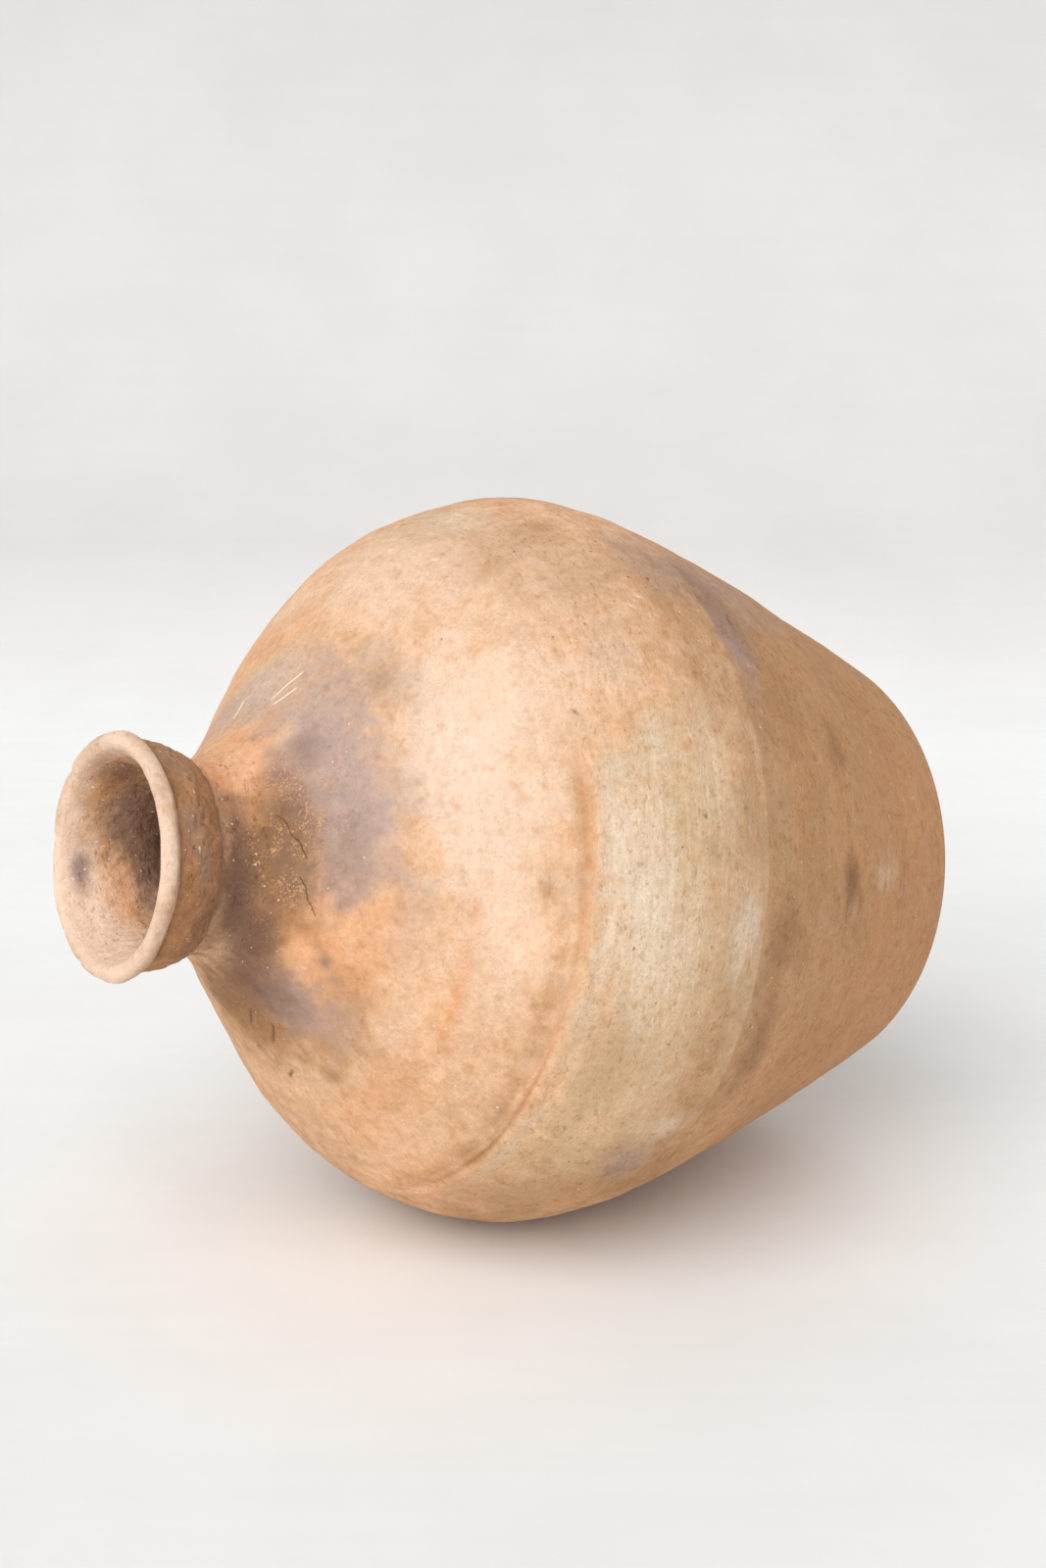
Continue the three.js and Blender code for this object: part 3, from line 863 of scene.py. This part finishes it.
# %% Masks on the meshes
EDGE_SWELLS = ((0.7, 30, 31), (0.5, 11, 32))
LINE_END, FAR = 1.2, 20.0


def nearest_line(angle, height, strokes):
    """How far the nearest stroke lies to the side, and 1 along it with a fade past its ends."""
    near, beside = np.full(angle.shape, FAR), np.full(angle.shape, FAR)
    shown = np.zeros(angle.shape)
    for start, end in strokes:
        side, past = along_stroke(angle, height, start, end)
        away = np.hypot(side, past)
        closer = away < near
        near = np.where(closer, away, near)
        beside = np.where(closer, side, beside)
        shown = np.where(closer, 1 - rise(past, 0.0, LINE_END), shown)
    return np.clip(beside, -FAR, FAR), shown


def store(piece, name, grid):
    """Puts one value per point on a piece; the two middle points of a disc take the first value."""
    values = np.full(len(piece.data.vertices), grid.flat[0], np.float32)
    values[:grid.size] = grid.ravel()
    piece.data.attributes.new(name, "FLOAT", "POINT").data.foreach_set("value", values)


for node, (piece, angle, height, _, points) in shaped.items():
    swell = ripples(points, EDGE_SWELLS)
    outer, inner = two_sides(node)
    for tone in TONES:
        store(piece, tone, tone_mask(node, tone, swell, outer, inner))
    for name, strokes in (("crack", CRACKS), ("scar", SCARS)):
        beside, shown = nearest_line(angle, height, strokes)
        store(piece, name + "_side", beside)
        store(piece, name + "_length", shown * outer)
print("masks laid on", len(shaped), "pieces")

# %% [markdown]
# ## Building materials from nodes
# A material is a graph of nodes. Writing each node and link by hand fills pages, so a few helpers add a
# node, feed its inputs and hand back the output to use next. Every texture reads the object's own
# coordinates in metres, so a grain of 1 mm is 1 mm on every piece.

# %% Nodes and sums


def add_node(tree, kind, inputs=None, **settings):
    """Adds a node, sets it up and feeds its inputs with numbers, colours or other nodes' outputs."""
    node = tree.nodes.new("ShaderNode" + kind)
    for name, value in settings.items():
        setattr(node, name, value)
    for name, value in (inputs or {}).items():
        if isinstance(value, bpy.types.NodeSocket):
            tree.links.new(value, node.inputs[name])
        else:
            node.inputs[name].default_value = value
    return node


def sums(tree, operation, a, b=0.0, clamp=False):
    """One sum on one or two values."""
    return add_node(tree, "Math", {0: a, 1: b}, operation=operation, use_clamp=clamp).outputs[0]


def plus(tree, a, b):
    """Two values added."""
    return sums(tree, "ADD", a, b)


def times(tree, a, b):
    """Two values multiplied."""
    return sums(tree, "MULTIPLY", a, b)


def scaled(tree, vector, factor):
    """A colour or a direction times one value."""
    return add_node(tree, "VectorMath", {0: vector, 3: factor}, operation="SCALE").outputs[0]


def step(tree, value, low, high, to_low=0.0, to_high=1.0):
    """A soft step from one value to another."""
    inputs = {0: value, 1: low, 2: high, 3: to_low, 4: to_high}
    return add_node(tree, "MapRange", inputs, interpolation_type="SMOOTHSTEP").outputs[0]


print("kinds of shader node:", sum(kind.startswith("ShaderNode") for kind in dir(bpy.types)))

# %% Colours, noises and materials


def tinted(tree, factor, under, over, blend="MIX"):
    """One colour laid over another."""
    node = add_node(tree, "Mix", {0: factor, 6: under, 7: over}, data_type="RGBA", blend_type=blend)
    return node.outputs[2]


def mottling(tree, where, size, detail, roughness):
    """Cloudy noise with patches of a size in millimetres."""
    inputs = {"Vector": where, "Scale": 1 / (size * MM), "Detail": detail, "Roughness": roughness}
    return add_node(tree, "TexNoise", inputs).outputs[0]


def drawn_out(tree, where, length, height):
    """Coordinates in which a pattern is long along the turn and thin up the wall, in millimetres."""
    factors = (1 / (length * MM), 1 / (length * MM), 1 / (height * MM))
    return add_node(tree, "VectorMath", {0: where, 1: factors}, operation="MULTIPLY").outputs[0]


def rgb(red, green, blue):
    """A colour without transparency."""
    return red, green, blue, 1.0


def new_material(name):
    """A material with its nodes, its shader and the object's own coordinates."""
    material = bpy.data.materials.new(name)
    material.use_nodes = True
    tree = material.node_tree
    return material, tree, tree.nodes["Principled BSDF"], add_node(tree, "TexCoord").outputs["Object"]


print("noise scale for a grain of 1 mm:", round(1 / MM))

# %% [markdown]
# ## Fired clay
# One recipe makes all the clay on the jar. It starts from two shades of terracotta and lays the fire's
# tones over them through the masks. Then it adds what only shows close up: wiping streaks, grain and
# speckle, ochre blotches, short pale and dark dashes, gold dust in the smoke, pits where grit or straw
# burnt out, and pale grit. The fine marks also go to a bump, and the roughness follows the grain. The
# shapes that show from a step away are already in the mesh.

# %% Tones of the clay
TERRACOTTA, TERRACOTTA_DEEP = rgb(0.80, 0.50, 0.31), rgb(0.70, 0.40, 0.215)
TONE_COLOURS = {
    "beige": rgb(0.65, 0.465, 0.28), "orange": rgb(0.77, 0.38, 0.19), "cream": rgb(0.84, 0.62, 0.475),
    "brown": rgb(0.43, 0.215, 0.085), "smoke": rgb(0.45, 0.33, 0.29), "haze": rgb(0.77, 0.62, 0.47),
    "soot": rgb(0.19, 0.10, 0.065), "gold": rgb(0.80, 0.42, 0.17),
}
RAGGED = {"beige": 0.7, "orange": 0.7, "cream": 0.6, "brown": 1.5, "smoke": 0.8, "haze": 1.2, "soot": 0.7}
CRACK, SCAR, PIT = rgb(0.16, 0.07, 0.035), rgb(0.90, 0.72, 0.53), rgb(0.24, 0.13, 0.055)
GRIT, OCHRE, FLECK = rgb(0.88, 0.78, 0.66), rgb(0.80, 0.67, 0.51), rgb(0.68, 0.54, 0.38)


def mask_of(tree, name):
    """A mask from the mesh."""
    return add_node(tree, "Attribute", attribute_name=name).outputs["Fac"]


def about(tree, noise, strength):
    """A noise as a swing round zero."""
    return times(tree, sums(tree, "SUBTRACT", noise, 0.5), strength)


def burnt_tones(tree, rag, colour):
    """Lays every tone over the clay, each with a ragged edge where its mask is half way."""
    for tone, ragged in RAGGED.items():
        mask = mask_of(tree, tone)
        half_way = times(tree, mask, sums(tree, "SUBTRACT", 1.0, mask))
        swing = times(tree, half_way, times(tree, rag, ragged))
        colour = tinted(tree, sums(tree, "ADD", mask, swing, clamp=True), colour, TONE_COLOURS[tone])
    return colour


print("tones:", ", ".join(TONE_COLOURS))

# %% [markdown]
# ## Patterns and marks in the clay
# A few noises of different sizes are shared by colour, bump and roughness, so that a dark grain is also a
# low one. Wiping drew some of them out along the turn, and those read coordinates that are squeezed up
# the wall. A pit sits in one of many scattered cells, and the cells' random colours choose which.

# %% Shared noises
# Sizes in millimetres; a drawn-out pattern has a length along the turn and a height up the wall.
GRAIN_SIZE, SPECKLE_SIZE, MOTTLE_SIZE, CLOUD_SIZE = 1.5, 3.2, 10, 45
STREAK, DASH = (50, 4.0), (4.0, 1.8)


def patterns(tree, where):
    """The noises that colour, bump and roughness share."""
    return {
        "grain": mottling(tree, where, GRAIN_SIZE, 3.0, 0.7),
        "speckle": mottling(tree, where, SPECKLE_SIZE, 4.0, 0.75),
        "mottle": mottling(tree, where, MOTTLE_SIZE, 7.0, 0.68),
        "cloud": mottling(tree, where, CLOUD_SIZE, 4.0, 0.55),
        "streak": mottling(tree, drawn_out(tree, where, *STREAK), 1 / MM, 6.0, 0.68),
        "dash": mottling(tree, drawn_out(tree, where, *DASH), 1 / MM, 3.0, 0.6),
    }


print("shared noises from", GRAIN_SIZE, "to", CLOUD_SIZE, "mm")

# %% Lines and pits
PIT_CELL, PIT_REACH, PIT_EDGE = (6.0, 4.0), (0.05, 0.16), 0.4
PIT_WOBBLE, PIT_NUDGE = 900.0, 0.002


def line_of(tree, name, wobble, width):
    """A thin line along a chain of strokes, wavering a little."""
    side = plus(tree, mask_of(tree, name + "_side"), wobble)
    line = step(tree, sums(tree, "ABSOLUTE", side), width * 0.5, width, 1.0, 0.0)
    return times(tree, line, mask_of(tree, name + "_length"))


def burnt_out(tree, where, share):
    """Pits of uneven size and shape in a share of scattered cells."""
    wobble = add_node(tree, "TexNoise", {"Vector": where, "Scale": PIT_WOBBLE, "Detail": 2.0}).outputs[1]
    nudge = scaled(tree, wobble, PIT_NUDGE)
    shaken = add_node(tree, "VectorMath", {0: where, 1: nudge}, operation="ADD").outputs[0]
    cells = add_node(tree, "TexVoronoi", {"Vector": drawn_out(tree, shaken, *PIT_CELL), "Scale": 1.0})
    chance = add_node(tree, "SeparateColor", {0: cells.outputs["Color"]})
    reach = step(tree, chance.outputs[1], 0.0, 1.0, *PIT_REACH)
    pit = step(tree, sums(tree, "DIVIDE", cells.outputs["Distance"], reach), PIT_EDGE, 1.0, 1.0, 0.0)
    return times(tree, pit, step(tree, chance.outputs[0], 1 - share, 1.02 - share))


print("a pit is up to about", round(2 * PIT_REACH[1] * PIT_CELL[0], 1), "mm long")

# %% [markdown]
# ## The clay recipe
# Each step takes a colour and hands back a changed one, so what comes later covers what came before. The
# broad tones come first, then the fine patterns of the surface, and lines, pits and grit last, because
# these small marks have to stay clear.

# %% Fire and surface
DUST_SIZE, BLOTCH_SIZE = 1.3, 6.0
SHADE_CUT, DUST_CUT, DUST_PATCH, MOST_DUST = (0.35, 0.65), (0.51, 0.59), (0.43, 0.57), 0.9
PALE_CUT, DARK_CUT, BLOTCH_CUT = (0.60, 0.72), (0.32, 0.42), (0.50, 0.68)
MOTTLE_RAG, STREAK_RAG, GRAIN_RAG = 3.6, 4.5, 2.6
GRAIN_SHADE, SPECKLE_SHADE, CLOUD_SHADE, PALE_DASH = 0.6, 0.45, 0.3, 0.2


def fired(tree, seen, wiped):
    """Two shades of terracotta under the fire's tones, with edges that wiping drew out."""
    colour = tinted(tree, step(tree, seen["mottle"], *SHADE_CUT), TERRACOTTA, TERRACOTTA_DEEP)
    rag = plus(tree, about(tree, seen["mottle"], MOTTLE_RAG * (1 - wiped)),
               about(tree, seen["streak"], STREAK_RAG * wiped))
    return burnt_tones(tree, plus(tree, rag, about(tree, seen["grain"], GRAIN_RAG)), colour)


def dusted(tree, where, seen, colour):
    """Gold dust where its mask is, in patches."""
    dust = step(tree, mottling(tree, where, DUST_SIZE, 5.0, 0.85), *DUST_CUT, 0.0, MOST_DUST)
    dust = times(tree, dust, step(tree, seen["mottle"], *DUST_PATCH))
    return tinted(tree, times(tree, dust, mask_of(tree, "gold")), colour, TONE_COLOURS["gold"])


def shaded(tree, where, seen, colour, streaks, blotches, flecks):
    """Lighter and darker with streaks, grain, speckle, pale dashes and clouds; then blotches and dark dashes."""
    fine = plus(tree, about(tree, seen["grain"], GRAIN_SHADE), about(tree, seen["speckle"], SPECKLE_SHADE))
    shade = plus(tree, about(tree, seen["streak"], streaks), fine)
    shade = plus(tree, shade, step(tree, seen["dash"], *PALE_CUT, 0.0, PALE_DASH * flecks))
    shade = plus(tree, shade, plus(tree, about(tree, seen["cloud"], CLOUD_SHADE), 1.0))
    blotch = step(tree, mottling(tree, where, BLOTCH_SIZE, 6.0, 0.72), *BLOTCH_CUT, 0.0, blotches)
    colour = tinted(tree, blotch, scaled(tree, colour, shade), OCHRE, "MULTIPLY")
    return tinted(tree, step(tree, seen["dash"], *DARK_CUT, flecks, 0.0), colour, FLECK, "MULTIPLY")


print("gold dust covers up to", MOST_DUST, "of the smoke under it")

# %% The whole recipe
WAVER_SIZE, GRIT_SIZE = 5, 2.2
CRACK_WAVER, SCAR_WAVER, HAIRLINE = 3.0, 0.3, 0.45
CRACK_SHARE, PIT_SHARE, GRIT_SHARE = 0.85, 0.65, 0.7
GRIT_FROM, GRIT_TO = 0.78, 0.82
GRAIN_BUMP, STREAK_BUMP, DASH_BUMP, CRACK_BUMP, GRIT_BUMP = 0.6, 0.4, 0.5, 0.8, 0.3
BUMP_DISTANCE, GLOSS = 0.0007, 0.3
GRAIN_SPAN, ROUGHNESS = (0.25, 0.75), (0.72, 0.94)


def bumps(tree, seen, crack, pit, speck):
    """The height of the fine marks."""
    height = plus(tree, times(tree, seen["grain"], GRAIN_BUMP), times(tree, seen["streak"], STREAK_BUMP))
    height = plus(tree, height, plus(tree, seen["speckle"], times(tree, seen["dash"], DASH_BUMP)))
    height = sums(tree, "SUBTRACT", height, plus(tree, pit, times(tree, crack, CRACK_BUMP)))
    return plus(tree, height, times(tree, speck, GRIT_BUMP))


def clay(name, wiped, streaks, blotches, flecks, pits, grit, bump):
    """A fired clay: how far the wiping drew its tones out, then the strength of each kind of mark."""
    material, tree, shader, where = new_material(name)
    seen = patterns(tree, where)
    colour = dusted(tree, where, seen, fired(tree, seen, wiped))
    colour = shaded(tree, where, seen, colour, streaks, blotches, flecks)
    waver = about(tree, mottling(tree, where, WAVER_SIZE, 3.0, 0.7), CRACK_WAVER)
    scar = line_of(tree, "scar", times(tree, waver, SCAR_WAVER), SCAR_WIDTH)
    crack = line_of(tree, "crack", waver, CRACK_WIDTH * HAIRLINE)
    pit = burnt_out(tree, where, pits)
    speck = step(tree, mottling(tree, where, GRIT_SIZE, 1.0, 0.5), GRIT_FROM - grit, GRIT_TO - grit)
    colour = tinted(tree, scar, colour, SCAR)
    for mark, share, its_own in ((crack, CRACK_SHARE, CRACK), (pit, PIT_SHARE, PIT), (speck, GRIT_SHARE, GRIT)):
        colour = tinted(tree, times(tree, mark, share), colour, its_own)
    height = bumps(tree, seen, crack, pit, speck)
    relief = add_node(tree, "Bump", {"Height": height, "Strength": bump, "Distance": BUMP_DISTANCE})
    tree.links.new(colour, shader.inputs["Base Color"])
    tree.links.new(relief.outputs[0], shader.inputs["Normal"])
    tree.links.new(step(tree, seen["grain"], *GRAIN_SPAN, *ROUGHNESS), shader.inputs["Roughness"])
    shader.inputs["Specular IOR Level"].default_value = GLOSS
    print(f"{name}: {len(tree.nodes)} nodes")
    return material


print("bump distance:", round(BUMP_DISTANCE / MM, 1), "mm")

# %% [markdown]
# ## Five clays for eight pieces
# The record names five finishes. The wall under the belly and the belly itself were wiped most, the
# neck and the collar are the most pitted, and the lip has the most grit showing because it is worn.

# %% Finish, ride and stand in for the plain solids
# Wiped, streaks, blotches, flecks, pits, grit and bump.
RECIPES = {
    "foot_clay": (0.8, 1.05, 0.7, 0.45, 0.06, 0.02, 0.7),
    "belly_clay": (0.6, 0.50, 0.6, 0.55, 0.12, 0.03, 0.9),
    "shoulder_clay": (0.2, 0.22, 0.6, 0.25, 0.06, 0.03, 0.6),
    "neck_clay": (0.0, 0.12, 0.6, 0.8, 0.22, 0.065, 1.0),
    "lip_clay": (0.0, 0.08, 0.5, 0.4, 0.14, 0.08, 0.8),
}
CLAYS = {name: clay(name, *recipe) for name, recipe in RECIPES.items()}
SLOT_OF = {
    "base_disc": "foot_clay", "lower_wall": "foot_clay", "belly_band": "belly_clay",
    "lower_shoulder": "shoulder_clay", "upper_shoulder": "shoulder_clay", "neck": "neck_clay",
    "collar_band": "neck_clay", "lip_roll": "lip_clay",
}
for node, slot in SLOT_OF.items():
    piece = shaped[node][0]
    piece.data.materials.append(CLAYS[slot])
    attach(piece, "root")
    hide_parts(node)
print("dressed:", ", ".join(SLOT_OF))

# %% [markdown]
# ## The floor
# A pale painted board carries the jar and its shadow, and the same board rises behind it in a wide curve,
# so no edge shows. It passes under the lowest point of the lying jar. Seen from behind or below it would
# hide the jar, so its back face lets camera rays through.

# %% Floor and backdrop
FLOOR_GAP = 0.0002
FLOOR_WIDE, FLOOR_FRONT, FLOOR_BACK, SWEEP, WALL_TOP = 5.0, 4.0, 1.0, 0.9, 3.0

up = np.array(studio_up)
lowest = min((np.array([v.co for v in piece.data.vertices]) @ up).min() for piece, *_ in shaped.values())
quarter = np.radians(np.linspace(0, 90, 25))
curve = [(FLOOR_BACK + SWEEP * np.sin(a), SWEEP - SWEEP * np.cos(a)) for a in quarter]
profile = [(-FLOOR_FRONT, 0.0), *curve, (FLOOR_BACK + SWEEP, WALL_TOP)]
corners = [(x, y, z) for y, z in profile for x in (-FLOOR_WIDE, FLOOR_WIDE)]
strips = [(2 * i, 2 * i + 1, 2 * i + 3, 2 * i + 2) for i in range(len(profile) - 1)]
floor_mesh = bpy.data.meshes.new("floor")
floor_mesh.from_pydata(corners, [], strips)
floor_mesh.shade_smooth()
floor = placed("floor", floor_mesh)
level_floor = facing_along(right, -toward, studio_up)
floor.matrix_world = Matrix.Translation(studio_up * (lowest - FLOOR_GAP)) @ level_floor
print("floor lies", round(lowest / MM, 1), "mm from the jar's origin, along the studio's up")

# %% [markdown]
# ## The board's paint
# The paint is matt and a little greyer on the rising part. Two noises dim it slightly: wide clouds, and
# long strokes of the brush. The back face turns clear for camera rays alone, so it still throws light.

# %% Floor paint
FLOOR_COLOUR, WALL_COLOUR = rgb(0.955, 0.965, 0.965), rgb(0.685, 0.67, 0.65)
PAINT_RISE, PAINT_CURVE = 0.14, 0.5
FLOOR_CLOUD, BRUSH_STROKE = 220, (2.0, 50.0, 50.0)
NOISE_CUT, CLOUD_DIM, BRUSH_DIM = (0.3, 0.7), (0.955, 1.0), (0.985, 1.0)
BOARD_ROUGHNESS, BOARD_GLOSS = 0.6, 0.2

floor_material, tree, shader, where = new_material("floor")
brushed = add_node(tree, "VectorMath", {0: where, 1: BRUSH_STROKE}, operation="MULTIPLY").outputs[0]
dimmer = step(tree, mottling(tree, where, FLOOR_CLOUD, 7.0, 0.62), *NOISE_CUT, *CLOUD_DIM)
brush = step(tree, mottling(tree, brushed, 1 / MM, 6.0, 0.65), *NOISE_CUT, *BRUSH_DIM)
rising = sums(tree, "DIVIDE", add_node(tree, "SeparateXYZ", {0: where}).outputs["Z"], PAINT_RISE, clamp=True)
paint_tone = tinted(tree, sums(tree, "POWER", rising, PAINT_CURVE), FLOOR_COLOUR, WALL_COLOUR)
tree.links.new(scaled(tree, paint_tone, times(tree, dimmer, brush)), shader.inputs["Base Color"])
shader.inputs["Roughness"].default_value = BOARD_ROUGHNESS
shader.inputs["Specular IOR Level"].default_value = BOARD_GLOSS
from_behind = add_node(tree, "NewGeometry").outputs["Backfacing"]
seen = add_node(tree, "LightPath").outputs["Is Camera Ray"]
clear = add_node(tree, "BsdfTransparent").outputs[0]
shown = add_node(tree, "MixShader", {0: times(tree, from_behind, seen), 1: shader.outputs[0], 2: clear})
tree.links.new(shown.outputs[0], tree.nodes["Material Output"].inputs["Surface"])
floor_mesh.materials.append(floor_material)
print("floor paint:", len(tree.nodes), "nodes")

# %% [markdown]
# ## Light
# The picture was taken in soft daylight from the front left, in a white room that fills most shadows. A
# sun lamp with a wide disc gives that soft key without fading over distance, and the world is the room.
# What the camera sees of the world has the board's own pale tone.

# %% Sun and world
KEY_FROM = right * -0.45 + toward * 0.95 + studio_up * 0.85
KEY_STRENGTH = 2.25
KEY_SPREAD = np.radians(60)
ROOM_LIGHT = 0.45
BACKGROUND = rgb(0.87, 0.84, 0.81)

key_data = bpy.data.lights.new("key", "SUN")
key_data.energy = KEY_STRENGTH
key_data.angle = KEY_SPREAD
key = placed("key", key_data)
key.matrix_world = KEY_FROM.to_track_quat("Z", "Y").to_matrix().to_4x4()
world = bpy.data.worlds.new("room")
world.use_nodes = True
scene.world = world
tree = world.node_tree
tree.nodes.clear()
path = add_node(tree, "LightPath")
mirrored = sums(tree, "MAXIMUM", path.outputs["Is Glossy Ray"], path.outputs["Is Transmission Ray"])
seen = sums(tree, "MAXIMUM", path.outputs["Is Camera Ray"], mirrored)
room = add_node(tree, "Background", {"Color": rgb(1, 1, 1), "Strength": ROOM_LIGHT}).outputs[0]
backdrop = add_node(tree, "Background", {"Color": BACKGROUND, "Strength": 1.0}).outputs[0]
mixed = add_node(tree, "MixShader", {0: seen, 1: room, 2: backdrop}).outputs[0]
tree.links.new(mixed, add_node(tree, "OutputWorld").inputs["Surface"])
print("key strength", KEY_STRENGTH, "room", ROOM_LIGHT)

# %% [markdown]
# ## The size stays the same
# The relief is drawn in so that the dressed jar keeps to the box of the imported one.
